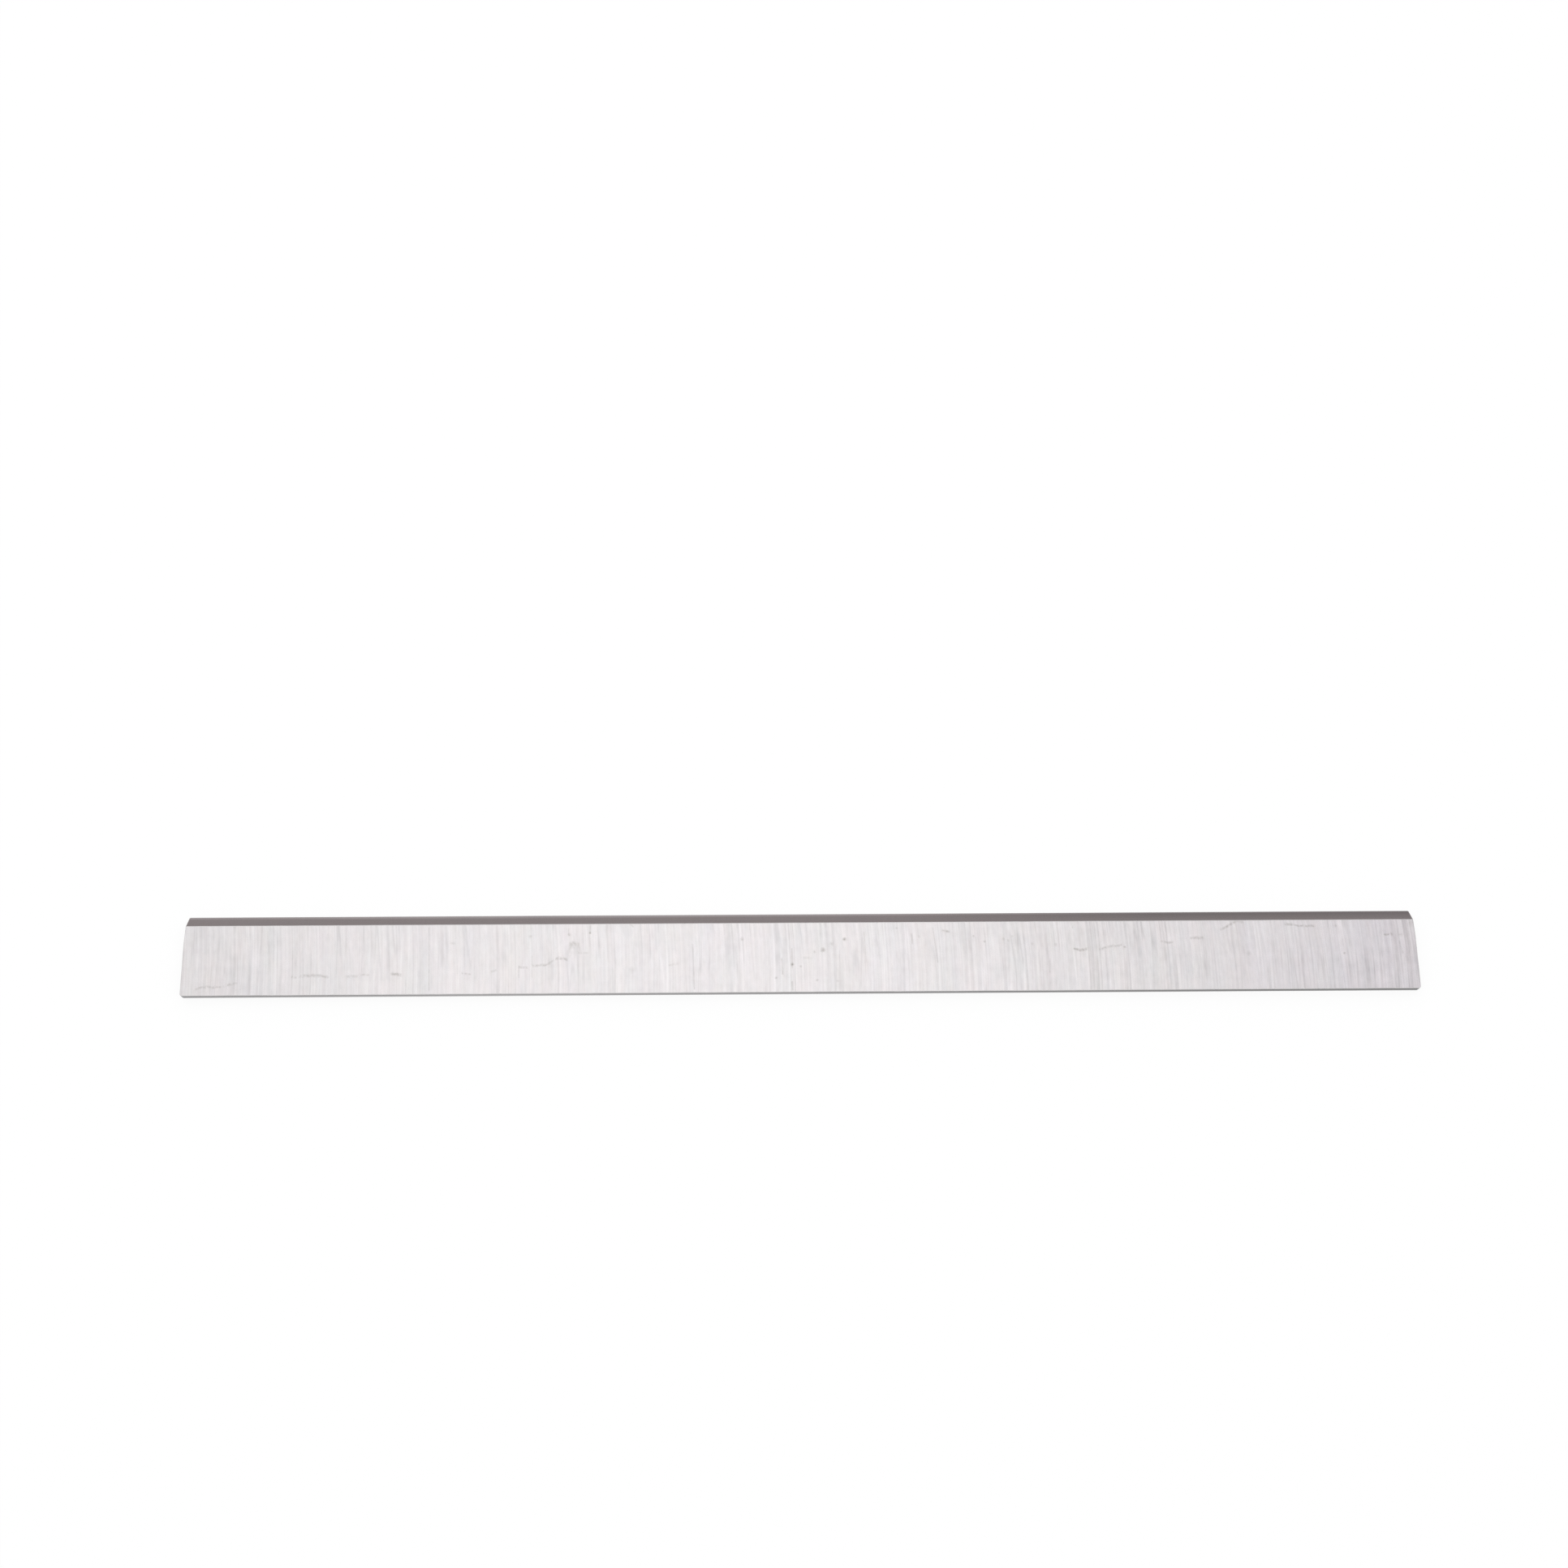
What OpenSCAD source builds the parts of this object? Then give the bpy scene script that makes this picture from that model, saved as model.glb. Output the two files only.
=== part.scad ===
// Straight planer knife: one flat bar of ground tool steel with a single bevel.
// It lies on its back face, bevel up, as it comes to rest on a bench.
// X runs along the knife, +Y points to the cutting edge, +Z is up.
// The origin is under the middle of the bar, on the surface that it lies on.

/* [Bar] */
// Length from end to end
knife_length = 381; // [150:1:660]
// Width from the rear edge to the cutting edge
knife_width = 25.4; // [16:0.1:35]
// Thickness between the two ground faces
knife_thickness = 3.175; // [2:0.005:5]

/* [Cutting edge] */
// Angle of the bevel to the back face
bevel_angle = 42; // [30:0.5:60]
// Radius on the two tips of the cutting edge, seen from above
tip_radius = 0.5; // [0.2:0.1:2]
// Break on the heel, where the bevel meets the top face
heel_break = 0.12; // [0.04:0.02:0.4]

/* [Rear edge] */
// Radius on the two rear corners, seen from above
corner_radius = 0.7; // [0.2:0.1:3]
// Break along the two long arrises of the rear edge
rear_break = 0.2; // [0.05:0.05:0.6]

/* [Ends] */
// Break on the top and back arrises of the two cut ends
end_break = 0.15; // [0.05:0.05:0.6]
// Distance by which each end is drawn in at the cutting edge
tip_relief = 0.4; // [0.1:0.05:1]
// Width over which each end is drawn in, from the cutting edge back
relief_width = 9; // [5:0.5:12]

/* [Hidden] */

half_length = knife_length / 2;
half_width = knife_width / 2;
// Width that the bevel takes from the top face, and the line where it meets that face
bevel_run = knife_thickness / tan(bevel_angle);
heel_y = half_width - bevel_run;
// Line where each end starts to lean in, and the angle of its lean
relief_y = half_width - relief_width;
relief_angle = atan(tip_relief / relief_width);
// Place of the tip's radius, which touches the leaning end and the cutting edge
tip_x = half_length - (relief_width - tip_radius) * tan(relief_angle) - tip_radius / cos(relief_angle);

// Sides of a full circle at the corners
corner_sides = 96;
// Distance by which a cutting shape runs past the bar
overrun = 1;

// Cross-section in Y and Z: flat back, bevel, broken heel and broken rear arrises
module cross_section() {
    polygon([
        [-half_width + rear_break, 0],
        [half_width, 0],
        [heel_y + heel_break * cos(bevel_angle), knife_thickness - heel_break * sin(bevel_angle)],
        [heel_y - heel_break, knife_thickness],
        [-half_width + rear_break, knife_thickness],
        [-half_width, knife_thickness - rear_break],
        [-half_width, rear_break]
    ]);
}

// Side elevation of one end in X and Z: square, with its top and back arrises broken
module end_elevation() {
    polygon([
        [-knife_length, -overrun],
        [half_length - end_break - overrun, -overrun],
        [half_length, end_break],
        [half_length, knife_thickness - end_break],
        [half_length - end_break - overrun, knife_thickness + overrun],
        [-knife_length, knife_thickness + overrun]
    ]);
}

// All that lies inside one end, turned by its lean about the line where the lean starts
module inside_end(lean) {
    translate([half_length, relief_y, 0])
        rotate([0, 0, lean])
            translate([-half_length, 0, 0])
                rotate([90, 0, 0])
                    linear_extrude(height = knife_length, center = true)
                        end_elevation();
}

// What a rounded corner loses: the space outside an arc about the origin, up to the lean of the end
module corner_waste(radius, lean) {
    reach = radius + overrun;
    difference() {
        translate([0, 0, -overrun])
            linear_extrude(height = knife_thickness + 2 * overrun)
                polygon([
                    [0, 0],
                    [reach * cos(lean), reach * sin(lean)],
                    [reach, reach],
                    [0, reach]
                ]);
        translate([0, 0, -2 * overrun])
            cylinder(r = radius, h = knife_thickness + 4 * overrun, $fn = corner_sides);
    }
}

// The bar, ground to section, cut to length and eased at its four corners
module knife() {
    color("gainsboro")
    difference() {
        intersection() {
            rotate([90, 0, 90])
                linear_extrude(height = knife_length + 2 * overrun, center = true)
                    cross_section();
            inside_end(0);
            inside_end(relief_angle);
            mirror([1, 0, 0]) inside_end(0);
            mirror([1, 0, 0]) inside_end(relief_angle);
        }
        for (end = [0, 1]) mirror([end, 0, 0]) {
            translate([tip_x, half_width - tip_radius, 0])
                corner_waste(tip_radius, relief_angle);
            translate([half_length - corner_radius, -half_width + corner_radius, 0])
                mirror([0, 1, 0])
                    corner_waste(corner_radius, 0);
        }
    }
}

knife();
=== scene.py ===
# %% [markdown]
# # A planer knife in ground steel
#
# A planer knife is a flat bar of hardened steel with one long bevel. It is about as simple as a solid
# can be, so its surfaces carry the whole look. The wide faces were passed under a large grinding wheel,
# which left hundreds of fine arcs across the bar. The bevel was ground lengthwise and looks darker.
# This lesson loads the fixed solid, builds a blade mesh with softly broken edges in its place, and then
# gives each ground surface a procedural finish of its own.

import math

import bmesh
import bpy
from mathutils import Matrix, Vector


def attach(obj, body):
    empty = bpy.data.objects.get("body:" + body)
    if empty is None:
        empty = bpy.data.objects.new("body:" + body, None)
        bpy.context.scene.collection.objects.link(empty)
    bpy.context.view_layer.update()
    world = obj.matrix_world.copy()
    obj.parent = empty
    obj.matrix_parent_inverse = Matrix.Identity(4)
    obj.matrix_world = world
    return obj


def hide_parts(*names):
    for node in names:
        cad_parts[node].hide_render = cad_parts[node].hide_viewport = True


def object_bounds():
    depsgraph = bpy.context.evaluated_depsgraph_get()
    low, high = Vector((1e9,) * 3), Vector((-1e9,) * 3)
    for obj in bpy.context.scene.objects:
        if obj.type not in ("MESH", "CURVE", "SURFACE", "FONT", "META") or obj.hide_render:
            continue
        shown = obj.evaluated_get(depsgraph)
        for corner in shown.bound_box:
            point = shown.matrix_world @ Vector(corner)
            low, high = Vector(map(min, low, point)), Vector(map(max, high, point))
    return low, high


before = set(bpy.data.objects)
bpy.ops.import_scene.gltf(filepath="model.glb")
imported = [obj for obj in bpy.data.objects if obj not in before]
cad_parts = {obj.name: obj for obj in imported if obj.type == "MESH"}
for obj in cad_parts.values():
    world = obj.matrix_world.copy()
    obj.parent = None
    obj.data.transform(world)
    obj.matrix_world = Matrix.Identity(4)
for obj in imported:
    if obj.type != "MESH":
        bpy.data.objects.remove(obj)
cad_low, cad_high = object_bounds()
print("CAD box in mm:", [round(1000 * side, 3) for side in cad_high - cad_low])

# %% [markdown]
# ## Sizes
#
# Blender works in metres here, and a knife is easier to think about in millimetres, so one name holds
# the millimetre. Length, width and thickness come from the CAD node's box. The heel is the line where
# the bevel meets the top face: it is read from the node too, as the farthest point of its top face.
# So the blade follows the solid if one of these changes. The small radii, the relief of the ends and
# the break on the heel can't be read off as easily, and are written here as the solid has them. The
# arrises get one small radius, where the solid has flat breaks of about the same size.

# %% Sizes of the blade
MM = 0.001
cad_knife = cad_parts["knife"]
HALF_LENGTH = cad_high.x
HALF_WIDTH = cad_high.y
THICKNESS = cad_high.z
TIP_RADIUS = 0.5 * MM
CORNER_RADIUS = 0.7 * MM
TIP_RELIEF = 0.4 * MM
RELIEF_WIDTH = 9 * MM
ARRIS_RADIUS = 0.16 * MM
HEEL_BREAK = 0.12 * MM
SAME_HEIGHT = 0.001 * MM

top_corners = [v.co for v in cad_knife.data.vertices if v.co.z > THICKNESS - SAME_HEIGHT]
HEEL_Y = max(corner.y for corner in top_corners) + HEEL_BREAK
BEVEL_ANGLE = math.atan2(THICKNESS, HALF_WIDTH - HEEL_Y)
print("heel at y =", round(HEEL_Y / MM, 2), "mm, bevel", round(math.degrees(BEVEL_ANGLE), 1), "degrees")

# %% [markdown]
# ## Camera
#
# The camera comes before the looks, because every finish is judged through it. It stands in front of
# the rear edge, 64 cm up, and looks down at 72 degrees, so the bevel is on the far side. A camera in
# Blender looks along its own -Z with +Y up. It is rolled about that axis first, then tilted up from
# straight down, and then turned to the right. The lens is a focal length in pixels, turned into
# millimetres on a 36 mm sensor.

# %% Camera
IMAGE_SIDE = 1932
FOCAL_PIXELS = 2600
CAMERA_PLACE = Vector((-19.24, -153.11, 637.74)) * MM
LOOKS_DOWN = math.radians(71.851)
TURNED_RIGHT = math.radians(3.803)
ROLLED = math.radians(3.362)

camera_data = bpy.data.cameras.new("camera")
camera_data.sensor_width = 36
camera_data.lens = camera_data.sensor_width * FOCAL_PIXELS / IMAGE_SIDE
camera_data.clip_start = 0.01
camera = bpy.data.objects.new("camera", camera_data)
bpy.context.scene.collection.objects.link(camera)
camera_turn = (
    Matrix.Rotation(-TURNED_RIGHT, 3, "Z")
    @ Matrix.Rotation(math.pi / 2 - LOOKS_DOWN, 3, "X")
    @ Matrix.Rotation(ROLLED, 3, "Z")
)
camera.matrix_world = Matrix.Translation(CAMERA_PLACE) @ camera_turn.to_4x4()
bpy.context.scene.camera = camera
print("lens", round(camera_data.lens, 2), "mm")

# %% [markdown]
# ## The blade's section and plan
#
# Two drawings describe the bar. The plan is its outline from above: a long rectangle with a small
# radius at each corner, whose ends lean in by 0.4 mm over the last 9 mm, so that the tips of the
# cutting edge don't catch. The section gives the height of the surface at each place across the width:
# level up to the heel, then straight down to the cutting edge. The heel itself is broken by a narrow
# flat, because a ground arris is never perfectly sharp.
#
# The plan could be extruded and cut with a Boolean, but that leaves stray slivers where the bevel runs
# out to nothing. Walking round the plan and standing a small edge profile at each point gives the same
# form with clean quads, and the profile can shrink to nothing at the cutting edge by itself.

# %% Height of the surface across the width
BREAK_START = HEEL_Y - HEEL_BREAK
BREAK_END = HEEL_Y + HEEL_BREAK * math.cos(BEVEL_ANGLE)


def on_bevel(y):
    """Height of the bevel's plane."""
    return (HALF_WIDTH - y) * math.tan(BEVEL_ANGLE)


def surface_height(y):
    """Height of the bar's upper surface at a place across its width."""
    if y <= BREAK_START:
        return THICKNESS
    if y >= BREAK_END:
        return max(on_bevel(y), 0)
    share = (y - BREAK_START) / (BREAK_END - BREAK_START)
    return THICKNESS + share * (on_bevel(BREAK_END) - THICKNESS)


print("bevel is", round(THICKNESS / math.sin(BEVEL_ANGLE) / MM, 2), "mm wide")

# %% Plan of one end, from the rear corner to the tip
CORNER_STEPS = 8
LEAN = math.atan2(TIP_RELIEF, RELIEF_WIDTH)
RELIEF_Y = HALF_WIDTH - RELIEF_WIDTH


def end_x(y):
    """Place of the right end's side along the bar, at y across it."""
    return HALF_LENGTH - max(y - RELIEF_Y, 0) * math.tan(LEAN)


def arc(centre, radius, start, end):
    """Points of a rounded corner, each with its outward direction."""
    points = []
    for step in range(CORNER_STEPS + 1):
        angle = start + (end - start) * step / CORNER_STEPS
        out = Vector((math.cos(angle), math.sin(angle)))
        points.append((Vector(centre) + radius * out, out))
    return points


def side_point(y, angle):
    """A point on the right end's side with its outward direction, given as an angle."""
    return Vector((end_x(y), y)), Vector((math.cos(angle), math.sin(angle)))


rear_centre = (HALF_LENGTH - CORNER_RADIUS, CORNER_RADIUS - HALF_WIDTH)
tip_y = HALF_WIDTH - TIP_RADIUS
tip_centre = (end_x(tip_y) - TIP_RADIUS / math.cos(LEAN), tip_y)
rear_arc = arc(rear_centre, CORNER_RADIUS, -math.pi / 2, 0)
side = [side_point(RELIEF_Y, LEAN / 2), side_point(BREAK_START, LEAN), side_point(BREAK_END, LEAN)]
tip_arc = arc(tip_centre, TIP_RADIUS, LEAN, math.pi / 2)
right_end = rear_arc + side + tip_arc
print("one end takes", len(right_end), "points")

# %% Whole outline, counter-clockwise
FLIP = Vector((-1, 1))
left_end = [(place * FLIP, out * FLIP) for place, out in right_end][::-1]
outline = right_end + left_end
count = len(outline)
# On the way round, the last point before the heel's narrow flat, at the right end and at the left end
right_heel = len(rear_arc) + 1
left_heel = count - 2 - right_heel
print("plan outline has", count, "points, and the ends lean", round(math.degrees(LEAN), 1), "degrees")

# %% [markdown]
# ## The blade's mesh
#
# At each point of the plan the edge profile starts a little way in on the back face, rounds the lower
# arris, climbs the side, rounds the upper arris and ends a little way in on the upper surface. Each
# step of the profile makes one ring of points round the bar, and neighbouring rings are joined by
# quads. Three flat faces close the top: the ground face, the heel's narrow flat and the bevel. One
# closes the back. Each face is given the number of the finish that it will wear.

# %% Rings round the bar
ARRIS_STEPS = 3
FACE, BEVEL, BACK, REAR, END, ARRIS = range(6)


def edge_profile(place, out):
    """Points of the edge profile at one point of the plan, from the back face to the upper surface."""
    side_height = surface_height(place.y)
    ease = min(ARRIS_RADIUS, side_height / 3)
    lower, upper = [], []
    for step in range(ARRIS_STEPS + 1):
        angle = math.pi / 2 * step / ARRIS_STEPS
        inward = ease * (1 - math.sin(angle))
        rise = ease * (1 - math.cos(angle))
        at = place - inward * out
        lower.append(Vector((at.x, at.y, rise)))
        upper.append(Vector((at.x, at.y, surface_height(at.y) - rise)))
    return lower + upper[::-1]


blade_mesh = bmesh.new()
columns = [[blade_mesh.verts.new(spot) for spot in edge_profile(*point)] for point in outline]
rings = list(zip(*columns))
print("rings:", len(rings), "of", count, "points")


# %% Faces between the rings, and the flats that close them
def side_slot(ring, point):
    """Finish of the quad above one ring, after one point of the plan."""
    if ring != ARRIS_STEPS:
        return ARRIS
    out = outline[point][1] + outline[(point + 1) % count][1]
    return REAR if out.y < -abs(out.x) else END


def flat(corners, slot):
    """One flat face with its finish."""
    face = blade_mesh.faces.new(corners)
    face.material_index = slot


for ring in range(len(rings) - 1):
    for point in range(count):
        after = (point + 1) % count
        quad = [rings[ring][point], rings[ring][after], rings[ring + 1][after], rings[ring + 1][point]]
        flat(quad, side_slot(ring, point))

top = rings[-1]
flat(top[left_heel + 1:] + top[:right_heel + 1], FACE)
flat([top[right_heel], top[right_heel + 1], top[left_heel], top[left_heel + 1]], ARRIS)
flat(top[right_heel + 1:left_heel + 1], BEVEL)
flat(rings[0][::-1], BACK)
print("faces before the cutting edge is closed:", len(blade_mesh.faces))

# %% [markdown]
# At the cutting edge the side has no height, so all the rings meet there in one line. Merging the
# points that coincide turns that line into the true sharp edge. Smooth shading with normals weighted
# by area keeps the flats flat and rounds only the narrow arrises between them.

# %% Close the cutting edge and make the blade
SAME_PLACE = 0.002 * MM
bmesh.ops.remove_doubles(blade_mesh, verts=blade_mesh.verts, dist=SAME_PLACE)
bmesh.ops.recalc_face_normals(blade_mesh, faces=blade_mesh.faces)
for face in blade_mesh.faces:
    face.smooth = True
open_edges = [edge for edge in blade_mesh.edges if not edge.is_manifold]
print("blade:", len(blade_mesh.faces), "faces,", len(open_edges), "open edges,",
      round(blade_mesh.calc_volume() / MM**3), "cubic mm")

blade_data = bpy.data.meshes.new("blade")
blade_mesh.to_mesh(blade_data)
blade_mesh.free()
blade = bpy.data.objects.new("blade", blade_data)
bpy.context.scene.collection.objects.link(blade)
weighted = blade.modifiers.new("flat faces stay flat", "WEIGHTED_NORMAL")
weighted.weight = 100

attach(blade, "root")
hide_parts("knife")

# %% [markdown]
# ## A small language for materials
#
# A finish is mostly arithmetic: where a grinding line runs, how far a stain reaches, how much of each
# shows. Written node by node, that arithmetic is lost. So `Number` wraps one output socket, and plus,
# minus, times and the rest add the Math node that does the sum. Either side may be a plain number,
# which is why the reflected forms are there too. `Finish` is a material, and its one method `node`
# makes any other node from its type, its settings and what its sockets hold.
#
# A Math node can clamp its own result, but `clamped` adds a Clamp node instead. The renderer splits
# that setting off into a step of its own, which it takes late. With some seventy marks in one sum, too
# many values then wait at once, the material no longer fits and the face renders black.

# %% Numbers in a material
class Number:
    """One output socket. Arithmetic on it adds Math nodes."""

    def __init__(self, finish, socket):
        self.finish = finish
        self.socket = socket

    def math(self, operation, *inputs):
        """A Math node, whose inputs are found by number because they all have one name."""
        return self.finish.node("ShaderNodeMath", {"operation": operation}, dict(enumerate(inputs)))

    def __add__(self, other):
        return self.math("ADD", self, other)

    def __sub__(self, other):
        return self.math("SUBTRACT", self, other)

    def __mul__(self, other):
        return self.math("MULTIPLY", self, other)

    def __truediv__(self, other):
        return self.math("DIVIDE", self, other)

    def __rsub__(self, other):
        return self.math("SUBTRACT", other, self)

    def __abs__(self):
        return self.math("ABSOLUTE", self)

    __radd__ = __add__
    __rmul__ = __mul__

    def clamped(self):
        """The same value, held between 0 and 1."""
        return self.finish.node("ShaderNodeClamp", {}, {"Value": self})

    def least(self, other):
        """The smaller of this value and another."""
        return self.math("MINIMUM", self, other)


# %% A material and its nodes
class Finish:
    """A node material with one Principled shader."""

    def __init__(self, name, roughness, metallic=1):
        self.material = bpy.data.materials.new(name)
        self.material.use_nodes = True
        self.tree = self.material.node_tree
        self.shader = self.tree.nodes["Principled BSDF"]
        self.shader.inputs["Metallic"].default_value = metallic
        self.shader.inputs["Roughness"].default_value = roughness

    def node(self, kind, settings=None, sockets=None, output=0):
        """A new node: its settings first, then a value or a link for each socket. Gives one output.
        Sockets go by name, or by number where a node has several of one name."""
        made = self.tree.nodes.new(kind)
        for name, value in (settings or {}).items():
            setattr(made, name, value)
        for name, value in (sockets or {}).items():
            self.feed(made.inputs[name], value)
        return Number(self, made.outputs[output])

    def feed(self, socket, value):
        """Sets one socket to a value, or links it to a Number."""
        if isinstance(value, Number):
            self.tree.links.new(value.socket, socket)
        else:
            socket.default_value = value

    def place(self):
        """Where a point of the surface lies on the blade: x, y and z in millimetres."""
        spot = self.node("ShaderNodeTexCoord", output="Object")
        parts = [self.node("ShaderNodeSeparateXYZ", {}, {"Vector": spot}, axis) for axis in "XYZ"]
        return [part / MM for part in parts]

    def vector(self, operation, *inputs, output="Vector"):
        """A Vector Math node."""
        settings = {"operation": operation}
        return self.node("ShaderNodeVectorMath", settings, dict(enumerate(inputs)), output)

    def scaled(self, vector, factor):
        """A colour or vector times a number."""
        return self.node("ShaderNodeVectorMath", {"operation": "SCALE"}, {0: vector, "Scale": factor})

    def joined(self, x, y, z=0):
        """Three numbers as one vector."""
        return self.node("ShaderNodeCombineXYZ", {}, {"X": x, "Y": y, "Z": z})

    def noise(self, x, y, z, detail=2, roughness=0.5, output="Fac"):
        """Soft random values from 0 to 1 that change about once for each unit of x, y or z.
        Where z is a plain number, it serves as a seed."""
        sockets = {"Vector": self.joined(x, y, z), "Scale": 1, "Detail": detail, "Roughness": roughness}
        return self.node("ShaderNodeTexNoise", {}, sockets, output)

    def colour_between(self, share, first, second):
        """A blend of two colours, each a colour or a link."""
        sockets = {"Factor": share, "A": first, "B": second}
        return self.node("ShaderNodeMix", {"data_type": "RGBA"}, sockets, output="Result")

    def wear(self, colour, roughness, marks, depth, strength):
        """Gives the shader its colour and roughness, and a bump from marks that are depth mm deep."""
        bump = {"Height": marks, "Distance": depth * MM, "Strength": strength}
        self.feed(self.shader.inputs["Base Color"], colour)
        self.feed(self.shader.inputs["Roughness"], roughness)
        self.feed(self.shader.inputs["Normal"], self.node("ShaderNodeBump", {}, bump))
        return self.material


# %% A trial of the arithmetic
trial = Finish("trial", roughness=0.5)
along = trial.place()[0]
nodes_before = len(trial.tree.nodes)
stripe = (1 - abs(along) / 3).clamped()
nodes_added = len(trial.tree.nodes) - nodes_before
print("a soft stripe adds", nodes_added, "nodes, and the last is a", stripe.socket.node.bl_label)
bpy.data.materials.remove(trial.material)

# %% [markdown]
# ## The ground face
#
# A cup wheel grinds a wide face in one pass, and each grain of the wheel scratches a piece of a large
# circle across the bar. So a grinding line isn't straight: it stands square to the bar near the rear
# edge and leans over towards the bevel. A coordinate that is the same all along one such arc makes the
# rest easy. It is the place along the bar plus how far the arc has leaned, which for a large radius is
# the square of the distance from the arc's foot over twice the radius.
#
# Noise that changes quickly along that coordinate and slowly across the bar draws the lines. Real
# grinding marks come in many sizes at once, so each set of lines has several octaves, from bands of
# about 2 mm down to half a millimetre. One set runs right across the bar, one changes on its way
# across, and one is only short nicks. Faint smudges run along the bar, and a fine grain lies over
# everything. What a coordinate is divided by is the spacing of those marks in millimetres.
#
# Some lines are crisper than the rest: dark scores, and bright ones where a ridge between two scores
# catches the light. Soft noise can draw those too, because the line where it passes its middle value is
# sharp, however soft the noise is. So a crisp line lies wherever one more noise is within a hair of
# 0.5, and a second noise chooses where such lines are strong.

# %% Arcs left by the grinding wheel
WHEEL_RADIUS = 245
ARC_FOOT = -11
FOOT_SLOPE = 0.018
LINE_CRISPNESS = 24


def along_arcs(x, y):
    """A coordinate in millimetres that stays the same along one grinding arc."""
    from_foot = y - ARC_FOOT - FOOT_SLOPE * x
    return x + from_foot * from_foot / (2 * WHEEL_RADIUS)


def crisp_lines(finish, across, along, seed):
    """1 on thin lines, strong in some places and absent in others."""
    from_middle = abs(finish.noise(across, along, seed, detail=1) - 0.5)
    strong = (5 * finish.noise(across / 3, along * 5, seed + 1) - 2).clamped()
    return (1 - LINE_CRISPNESS * from_middle).clamped() * strong


def grinding(finish, x, y, seed):
    """Height of the grinding marks, with a mean of about 0."""
    arc = along_arcs(x, y)
    across = finish.noise(arc / 1.85, y / 700, seed, roughness=1) - 0.5
    partway = finish.noise(arc / 2.4, y / 110, seed + 10, roughness=1) - 0.5
    nicks = finish.noise(arc / 1.6, y / 4.5, seed + 20, detail=1, roughness=1) - 0.5
    smudge = finish.noise(x / 14, y / 3.2, seed + 30, detail=1, roughness=1) - 0.5
    grain = finish.noise(x / 0.6, y / 0.5, seed + 40, detail=0) - 0.5
    soft = 0.36 * across + 0.24 * partway + 0.18 * nicks + 0.07 * smudge + 0.03 * grain
    scores = crisp_lines(finish, arc / 2.6, y / 80, seed + 50)
    ridges = crisp_lines(finish, arc / 2.2, y / 90, seed + 60)
    return soft + 0.10 * ridges - 0.13 * scores


arc_lean = along_arcs(0, HALF_WIDTH / MM)
print("an arc leans over by", round(arc_lean, 2), "mm by the time it reaches the cutting edge")

# %% [markdown]
# ## Stains and scuffs
#
# Handling has left faint grey marks on the upper face: dried smears that run along the bar, one that
# climbs in a curve and doubles back, a scatter of specks, and short dark nicks along the grinding arcs.
# Their places follow the real knife, in millimetres from its middle. A smear or a nick is a short
# chain of points. The distance from a chain is the least distance from its straight pieces. A little
# noise bends a smear and breaks it up, so that it looks dried on and not drawn.

# %% Marks on the upper face
SMEARS = [
    # half width, depth, points
    (0.28, 0.60, [(-185.6, -10.6), (-182.3, -9.9), (-180.4, -10.0), (-177.0, -9.7), (-173.6, -8.8)]),
    (0.30, 0.66, [(-156.4, -7.0), (-150.5, -6.6), (-145.8, -7.0)]),
    (0.25, 0.50, [(-140.0, -6.9), (-136.5, -6.7), (-133.5, -6.5)]),
    (0.32, 0.85, [(-126.2, -6.3), (-123.6, -6.5)]),
    (0.22, 0.30, [(-108.6, 3.4), (-107.4, 3.4)]),
    (0.25, 0.60, [(-104.6, -6.1), (-102.4, -6.3)]),
    (0.25, 0.40, [(-95.7, -5.5), (-94.5, -5.2)]),
    (0.22, 0.50, [(-87.6, -4.2), (-84.9, -4.6)]),
    (0.26, 0.60, [(-83.0, -3.9), (-79.0, -3.6), (-75.8, -1.7), (-73.9, -1.5), (-72.5, -2.0)]),
    (0.16, 0.35, [(-76.3, -1.5), (-75.2, -0.9), (-74.0, -1.2)]),
    (0.55, 0.30, [(-72.8, -1.6), (-71.6, 2.6)]),
    (0.40, 0.45, [(-71.7, 3.1), (-69.6, 3.0)]),
    (0.85, 0.22, [(-70.9, 2.2), (-70.5, 1.0)]),
    (0.35, 0.25, [(-69.5, 2.6), (-69.0, 0.4)]),
    (0.20, 0.35, [(-69.2, -0.1), (-66.2, 0.0)]),
    (0.22, 0.35, [(-41.2, -3.9), (-40.0, -3.7), (-38.6, -3.6)]),
    (0.25, 0.35, [(0.2, -2.0), (2.2, -2.0)]),
    (0.28, 0.55, [(43.0, 6.3), (45.0, 6.1)]),
    (0.30, 1.05, [(84.0, 0.4), (86.2, 0.1), (87.4, 0.3)]),
    (0.25, 0.60, [(91.8, 0.1), (94.0, 0.9), (98.4, 1.5)]),
    (0.24, 0.65, [(111.2, 2.5), (112.8, 2.2), (114.3, 2.3)]),
    (0.26, 0.65, [(120.4, 3.6), (123.9, 3.6)]),
    (0.28, 0.75, [(130.0, 6.3), (131.6, 7.4), (134.0, 8.2)]),
    (0.22, 0.45, [(133.2, 8.6), (136.8, 8.5)]),
    (0.26, 0.80, [(149.8, 8.0), (153.9, 7.4), (159.0, 7.2)]),
    (0.26, 1.00, [(180.9, 4.3), (182.9, 4.6)]),
    (0.30, 0.40, [(185.4, 4.4), (186.2, 4.2)]),
]
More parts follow.
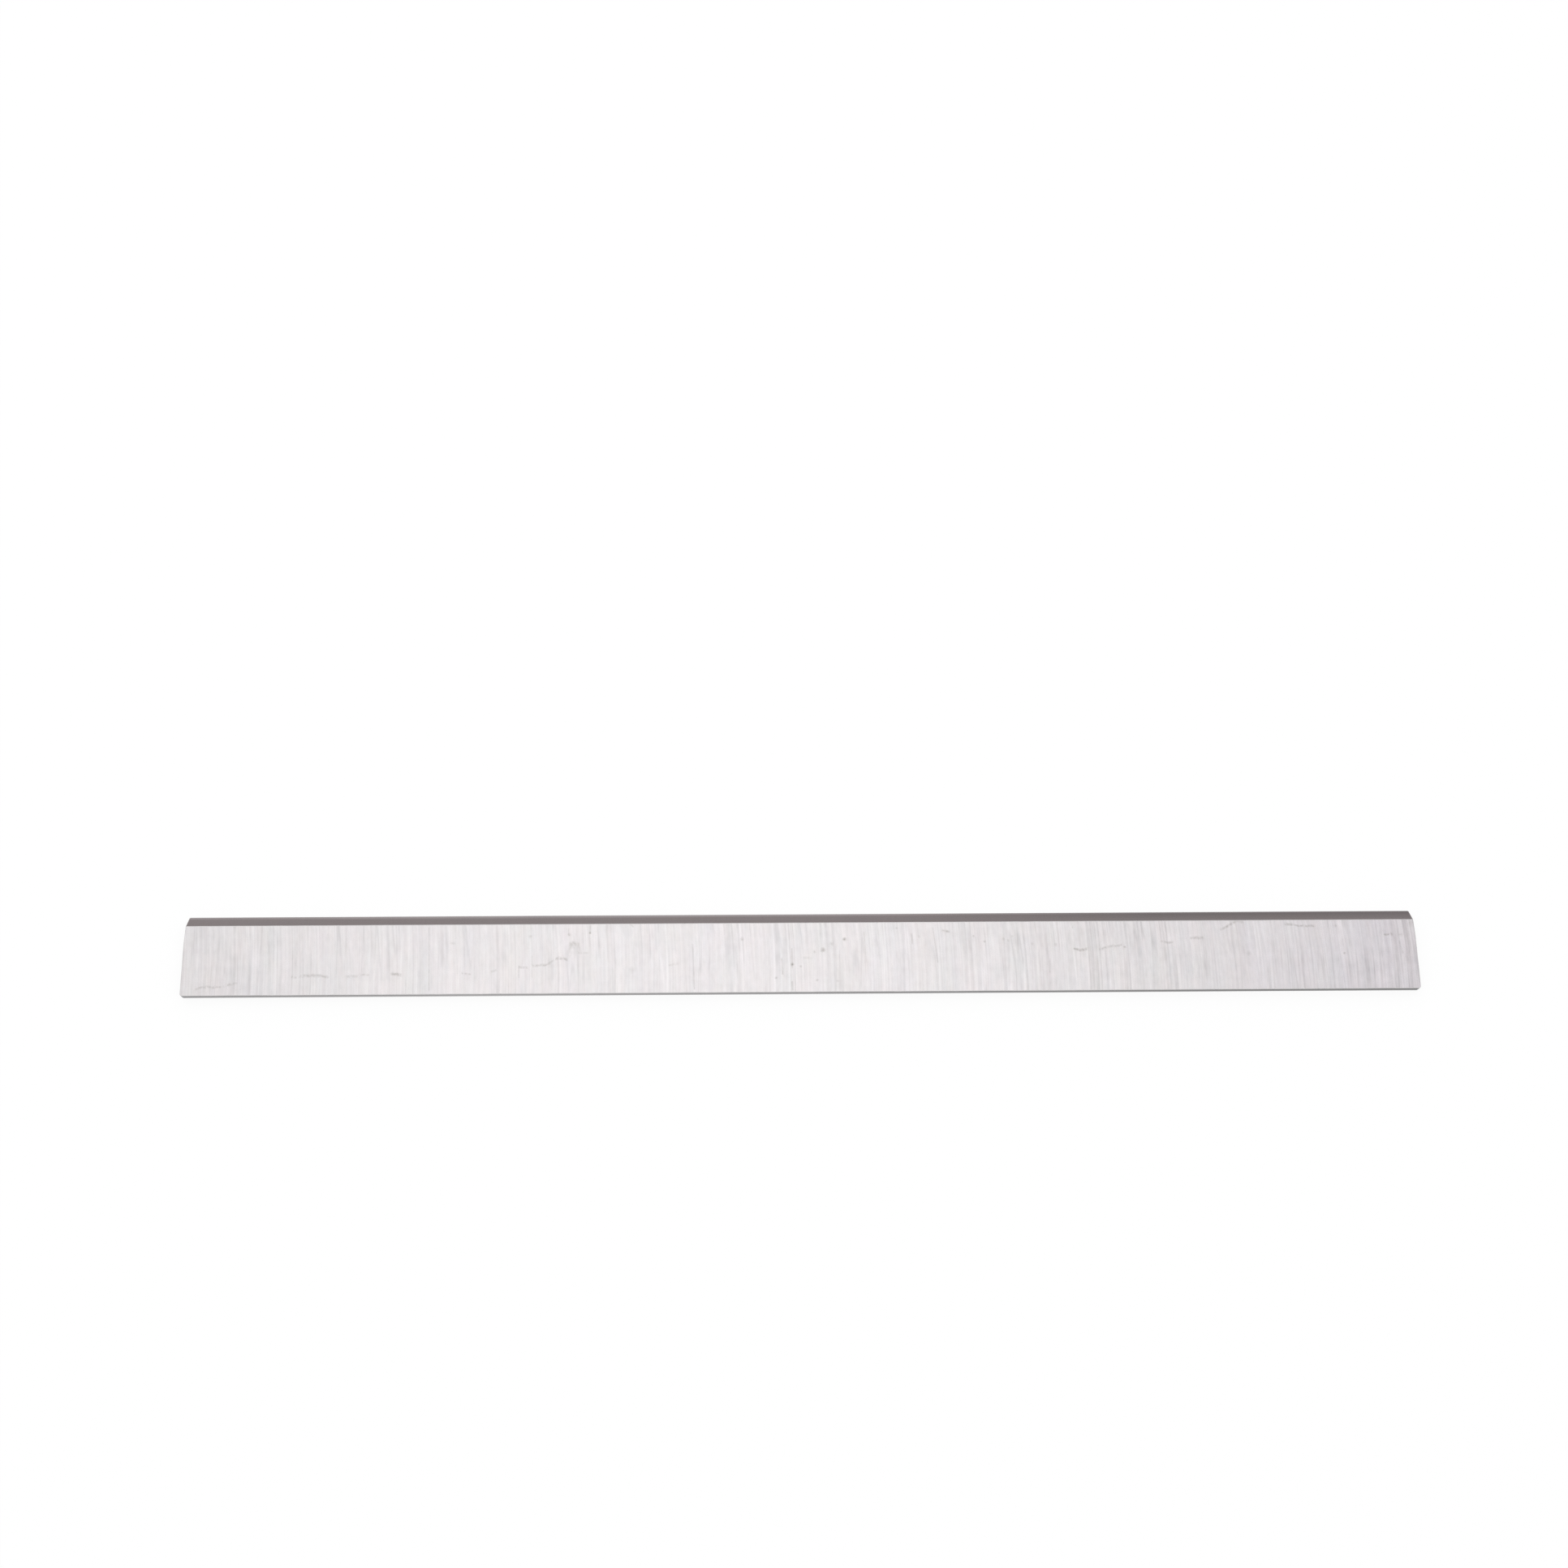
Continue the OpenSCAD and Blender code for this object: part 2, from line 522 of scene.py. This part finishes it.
NICKS = [
    # half width, depth, points
    (0.14, 0.40, [(-115.5, 8.2), (-114.7, -11.5)]),
    (0.14, 0.35, [(-87.5, -4.0), (-87.4, -7.6)]),
    (0.12, 0.22, [(-83.5, -1.0), (-83.4, -7.6)]),
    (0.16, 0.30, [(-72.5, 7.6), (-72.4, 5.6)]),
    (0.18, 0.55, [(-65.8, 8.8), (-65.8, 6.3)]),
    (0.18, 0.40, [(-53.5, 9.0), (-52.6, 8.3)]),
    (0.14, 0.40, [(-34.2, 2.5), (-33.6, -11.5)]),
    (0.18, 0.40, [(-6.8, -2.3), (-6.5, -7.0)]),
    (0.16, 0.45, [(-3.6, 1.0), (-3.5, -5.0)]),
    (0.20, 0.45, [(-3.6, -9.5), (-3.5, -11.9)]),
    (0.14, 0.35, [(18.8, 6.1), (19.3, -3.4)]),
    (0.18, 0.50, [(33.5, 5.4), (33.7, 2.4)]),
    (0.14, 0.40, [(40.2, 7.2), (41.4, -3.6)]),
    (0.16, 0.30, [(76.1, -2.8), (75.9, -6.9)]),
    (0.16, 0.35, [(83.2, 8.8), (83.6, 7.0)]),
    (0.18, 0.35, [(185.2, 2.2), (185.9, -1.6)]),
]
SPECKS = [
    # radius, depth, place
    (0.50, 0.35, (-84.2, 5.2)), (0.42, 0.50, (-72.3, 5.9)), (0.35, 0.55, (-65.9, 6.3)),
    (0.80, 0.25, (-52.7, -5.4)), (0.45, 0.45, (-18.9, 4.0)), (0.34, 0.70, (-8.5, -8.1)),
    (0.45, 0.85, (-3.5, -4.1)), (0.32, 0.55, (-0.9, -4.7)), (0.60, 0.90, (6.0, 0.4)),
    (0.32, 0.45, (3.4, -0.1)), (0.36, 0.60, (4.1, -9.1)), (0.50, 0.40, (8.7, 2.5)),
    (0.35, 0.30, (10.4, -9.3)), (0.48, 0.90, (12.7, 3.9)), (0.30, 0.45, (28.9, 7.3)),
    (0.35, 0.30, (35.8, 4.5)), (0.40, 0.50, (44.7, 6.1)), (0.32, 0.45, (52.7, 4.6)),
    (0.34, 0.65, (56.1, 2.9)), (0.40, 0.40, (62.0, 3.5)), (0.35, 0.40, (63.4, 3.2)),
    (0.32, 0.35, (64.7, 4.5)), (0.40, 0.30, (70.8, 2.1)), (0.40, 0.35, (78.1, 1.8)),
    (0.34, 0.75, (99.5, 0.9)), (0.60, 0.30, (138.0, -1.3)), (0.40, 0.40, (165.7, 7.3)),
    (0.34, 0.70, (167.7, -1.5)), (0.90, 0.30, (189.2, 7.9)),
]
print(len(SMEARS), "smears,", len(NICKS), "nicks and", len(SPECKS), "specks")


# %% Distance from a mark
SMEAR_REACH = 2.2
SPECK_REACH = 1.6
SPREAD_BEND = 1.3
SPREAD_SHAKE = 0.5


def from_segment(finish, spot, start, end):
    """Distance in millimetres from a straight piece of a mark."""
    run = Vector((*end, 0)) - Vector((*start, 0))
    from_start = finish.vector("SUBTRACT", spot, (*start, 0))
    share = finish.vector("DOT_PRODUCT", from_start, run / run.length_squared, output="Value")
    nearest = finish.scaled(run, share.clamped())
    return finish.vector("DISTANCE", from_start, nearest, output="Value")


def from_chain(finish, spot, points):
    """Distance in millimetres from the nearest piece of a chain of points."""
    nearest = None
    for start, end in zip(points, points[1:]):
        distance = from_segment(finish, spot, start, end)
        nearest = distance if nearest is None else nearest.least(distance)
    return nearest


def fades(distance, reach):
    """1 on a mark's line and 0 past its reach."""
    return (1 - distance / reach).clamped()


def stains(finish, x, y):
    """How dark the marks are at a place, 0 on clean steel. Smears and specks are bent a little by
    noise and broken up by it. Nicks stay straight."""
    bend = finish.noise(x / 3.5, y / 3.5, 3) - 0.5
    shake = finish.noise(x / 0.9, y / 0.9, 4) - 0.5
    straight = finish.joined(x, y)
    bent = finish.joined(x, y + SPREAD_BEND * bend + SPREAD_SHAKE * shake)
    ragged = finish.noise(along_arcs(x, y) / 0.8, y / 1.5, 5, detail=1)
    broken = (3.2 * ragged - 0.9).clamped()
    smeared = nicked = specked = 0
    for half_width, depth, points in SMEARS:
        smeared = smeared + depth * fades(from_chain(finish, bent, points), SMEAR_REACH * half_width)
    for half_width, depth, points in NICKS:
        nicked = nicked + depth * fades(from_chain(finish, straight, points), SMEAR_REACH * half_width)
    for radius, depth, place in SPECKS:
        distance = finish.vector("DISTANCE", bent, (*place, 0), output="Value")
        specked = specked + depth * fades(distance, SPECK_REACH * radius)
    return smeared * broken + nicked * (2 * ragged - 0.1) + specked * (0.9 + 0.4 * broken)


segments = sum(len(points) - 1 for half_width, depth, points in SMEARS + NICKS)
print("smears and nicks have", segments, "straight pieces to measure from")

# %% [markdown]
# ## Colours of the steel
#
# Bare steel is a metal, so its base colour is what it mirrors back: a light grey that leans a hair
# towards red. Towards the right end it leans to lilac as well, a painted reflection of lilac-tinted
# surroundings. It isn't one even tint, so red and blue drift by a few per cent in soft patches along
# the arcs. The grinding marks shift the colour as well, and they tip the surface a little, so they
# also go to a Bump node. They grow slightly stronger from the left end to the right. A stain dulls
# the steel: it draws the colour towards a warm grey and adds roughness.

# %% Finish of a ground face
FACE_STEEL = (0.835, 0.803, 0.811, 1)
LILAC_REFLECTION_STEEL = (0.840, 0.798, 0.828, 1)
LILAC_REFLECTION_START = 110
LILAC_REFLECTION_LENGTH = 70
TINT_RANGE = (0.12, 0, 0.085)
STAIN_GREY = (0.42, 0.40, 0.37, 1)
STAIN_COVER = 0.66
STAIN_ROUGHNESS = 0.12
FACE_ROUGHNESS = 0.24
MARKS_IN_MIDDLE = 0.97
MARKS_GROW_OVER = 1700


def tinted(finish, colour, x, y, seed):
    """A colour whose red and blue drift a little from place to place."""
    drift = finish.noise(x, y, seed, detail=4, roughness=0.9, output="Color")
    least_tint = [1 - reach / 2 for reach in TINT_RANGE]
    tint = finish.vector("MULTIPLY_ADD", drift, TINT_RANGE, least_tint)
    return finish.vector("MULTIPLY", tint, colour)


def ground_face(name, seed, stained):
    """A wide face that has been under the grinding wheel."""
    finish = Finish(name, FACE_ROUGHNESS)
    x, y, z = finish.place()
    marks = (MARKS_IN_MIDDLE + x / MARKS_GROW_OVER) * grinding(finish, x, y, seed)
    # Painted reflection: from 110 mm right of the middle, over 70 mm, the colour blends towards lilac.
    lilac_reflection_share = ((x - LILAC_REFLECTION_START) / LILAC_REFLECTION_LENGTH).clamped()
    steel = finish.colour_between(lilac_reflection_share, FACE_STEEL, LILAC_REFLECTION_STEEL)
    steel = tinted(finish, steel, along_arcs(x, y) / 10, y / 35, seed + 60)
    steel = finish.scaled(steel, 1 + marks)
    rough = FACE_ROUGHNESS + 0.5 * marks
    if stained:
        dark = stains(finish, x, y)
        steel = finish.colour_between(STAIN_COVER * dark, steel, STAIN_GREY)
        rough = rough + STAIN_ROUGHNESS * dark
    return finish.wear(steel, rough, marks, depth=0.03, strength=0.35)


finishes = {
    FACE: ground_face("face_steel", 0, stained=True),
    BACK: ground_face("back_steel", 200, stained=False),
}
for material in finishes.values():
    print(material.name, "has", len(material.node_tree.nodes), "nodes")

# %% [markdown]
# ## The bevel and the narrow surfaces
#
# The bevel was ground lengthwise with a finer wheel. Its lines are long, so the noise is stretched
# along x and squeezed across the slope. The real bevel mirrors something dim that lies low behind the
# knife. Here the white floor lies there, so the dark is given to the steel's own colour. A strip along
# the cutting edge is lighter, where the last strokes of the stone have touched it. The strip is widest
# left of the middle and narrows a little towards both ends. The right part of the bevel is darker than
# the rest, most of all low down.

# %% Finish of the bevel
BEVEL_STEEL = (0.246, 0.214, 0.216, 1)
HONED_STEEL = (0.43, 0.39, 0.395, 1)
BEVEL_ROUGHNESS = 0.3
BEVEL_WIDTH = (HALF_WIDTH - HEEL_Y) / math.cos(BEVEL_ANGLE) / MM
LIGHTEST_X = -90
HONED_SHARE = 0.365
HONED_TAPER = 1100
DARK_START = 30
DARK_LENGTH = 80
DARK_LOSS = 0.12
LOW_LOSS = 0.27
LOW_SHARE = 0.85


def ground_bevel():
    """The bevel, with its lengthwise lines, its honed strip and its darker right part."""
    finish = Finish("bevel_steel", BEVEL_ROUGHNESS)
    x, y, z = finish.place()
    up_slope = z / math.sin(BEVEL_ANGLE)
    streaks = finish.noise(x / 38, up_slope / 0.16, 70) - 0.5
    scratches = finish.noise(x / 6, up_slope / 0.07, 71, detail=1) - 0.5
    chatter = finish.noise(x / 1.1, up_slope / 9, 72, detail=1) - 0.5
    marks = 0.5 * streaks + 0.35 * scratches + 0.15 * chatter
    reach = (HONED_SHARE - abs(x - LIGHTEST_X) / HONED_TAPER) * BEVEL_WIDTH
    stroke = (0.1 + 1.8 * finish.noise(x / 45, 0.5, 74)).clamped()
    honed = (1 - up_slope / reach).clamped() * stroke
    low_down = (1 - up_slope / (LOW_SHARE * BEVEL_WIDTH)).clamped()
    darkened = 1 - ((x - DARK_START) / DARK_LENGTH).clamped() * (DARK_LOSS + LOW_LOSS * low_down)
    steel = finish.colour_between(honed, BEVEL_STEEL, HONED_STEEL)
    steel = tinted(finish, steel, x / 30, up_slope / 2, 73)
    steel = finish.scaled(steel, darkened * (1 + 0.55 * marks))
    return finish.wear(steel, BEVEL_ROUGHNESS + 0.3 * marks, marks, depth=0.015, strength=0.3)


finishes[BEVEL] = ground_bevel()
print("the honed strip is up to", round(HONED_SHARE * BEVEL_WIDTH, 2), "mm wide")

# %% [markdown]
# The rear edge and the ends wear the same kind of finish, each with its own direction of grind, and
# the rounded arrises are brighter and nearly plain. The rear edge's dark grey is a painted reflection
# of the shadowed floor just in front of it. It is lightest left of the middle, at the place where the
# honed strip is widest, and fades towards both ends, which is painted light and shade. It is lighter
# at its foot, a painted reflection of the floor. That is written in its colour, because a lamp or a
# wall that gave the same would change the wide face too.

# %% Finish of the rear edge, the ends and the rounded arrises
# The rear edge's dark grey below is a painted reflection of the shadowed floor in front of it.
REAR_STEEL = (0.275, 0.267, 0.270)
END_STEEL = (0.42, 0.41, 0.41)
ARRIS_STEEL = (0.80, 0.775, 0.78)
FADE_LENGTH = 280
FOOT_HEIGHT = 1.7


def ground_edge(name, colour, roughness, pitch, seed, fade=0, foot=0):
    """A narrow surface whose grinding lines run along it. Pitch is the spacing of its marks in x, y
    and z. Fade is the share of its light that it loses at the right end, and foot is what it gains at
    its foot."""
    finish = Finish(name, roughness)
    x, y, z = finish.place()
    marks = finish.noise(x / pitch[0], y / pitch[1], z / pitch[2] + seed) - 0.5
    # Painted light: a lighter foot, and a fade away from LIGHTEST_X. Only the rear edge uses them.
    foot_light = foot * (1 - z / FOOT_HEIGHT).clamped()
    light = 1 + foot_light - fade * abs(x - LIGHTEST_X) / FADE_LENGTH
    steel = finish.scaled(colour, (1 + 0.5 * marks) * light)
    return finish.wear(steel, roughness + 0.25 * marks, marks, depth=0.015, strength=0.3)


# The rear edge's fade and lighter foot are painted shade and a painted reflection.
finishes[REAR] = ground_edge("rear_steel", REAR_STEEL, 0.38, (22, 1, 0.12), 3, fade=0.8, foot=1.3)
finishes[END] = ground_edge("end_steel", END_STEEL, 0.42, (1, 7, 0.14), 5)
finishes[ARRIS] = ground_edge("arris_steel", ARRIS_STEEL, 0.3, (5, 5, 1), 7)
for slot in sorted(finishes):
    blade.data.materials.append(finishes[slot])
print("finishes:", [material.name for material in blade.data.materials])

# %% [markdown]
# ## Floor and light
#
# The knife lies on a plain white floor. Most of that white is a glow that is seen by the camera, in
# mirroring steel and through clear things, but lights nothing from below. The rest is a grey that the
# lamps light, and the knife's soft shadow falls on it. Two large soft lamps overhead are what the
# ground face mirrors, a wide one and a smaller one just below it. They hang left of the middle, so the
# face darkens in two steps towards its right end. A lamp's energy is worked out from its brightness
# and its area, so the first number alone says how bright it looks. The world fills the rest with an
# even pale grey, and a colour renders about as it is written.

# %% Floor
FLOOR_SIDE = 12
FLOOR_DROP = 0.05 * MM
FLOOR_GLOW = 0.875
FLOOR_GREY = (0.17, 0.17, 0.17, 1)

bpy.ops.mesh.primitive_plane_add(size=FLOOR_SIDE, location=(0, 0, -FLOOR_DROP))
floor = bpy.context.object
floor.name = "floor"
paper = Finish("floor_white", roughness=0.9, metallic=0)
paper.shader.inputs["Base Color"].default_value = FLOOR_GREY
paper.shader.inputs["Specular IOR Level"].default_value = 0
from_camera = paper.node("ShaderNodeLightPath", output="Is Camera Ray")
mirrored = paper.node("ShaderNodeLightPath", output="Is Glossy Ray")
let_through = paper.node("ShaderNodeLightPath", output="Is Transmission Ray")
seen = from_camera + mirrored + let_through
glow = paper.node("ShaderNodeEmission", {}, {"Strength": FLOOR_GLOW * seen})
shaded = Number(paper, paper.shader.outputs["BSDF"])
surface = paper.node("ShaderNodeAddShader", {}, {0: shaded, 1: glow})
paper.feed(paper.tree.nodes["Material Output"].inputs["Surface"], surface)
floor.data.materials.append(paper.material)
print("floor:", FLOOR_SIDE, "m wide and", round(FLOOR_DROP / MM, 2), "mm below the blade")

# %% Lamps and world
LAMPS = {
    # brightness, size along x and y, place
    "wide_lamp": (0.206, (1.20, 0.90), (-0.100, 0.25, 1.05)),
    "near_lamp": (0.138, (0.534, 0.86), (-0.073, 0.24, 1.00)),
}
WORLD_GREY = (0.685, 0.685, 0.685, 1)

for name, (brightness, size, place) in LAMPS.items():
    lamp_data = bpy.data.lights.new(name, "AREA")
    lamp_data.shape = "RECTANGLE"
    lamp_data.size, lamp_data.size_y = size
    lamp_data.energy = brightness * math.pi * size[0] * size[1]
    lamp = bpy.data.objects.new(name, lamp_data)
    lamp.location = place
    bpy.context.scene.collection.objects.link(lamp)
    print(name, "gives", round(lamp_data.energy, 2), "W")

world = bpy.data.worlds.new("even_grey")
world.use_nodes = True
world.node_tree.nodes["Background"].inputs["Color"].default_value = WORLD_GREY
bpy.context.scene.world = world
bpy.context.scene.view_settings.view_transform = "Standard"
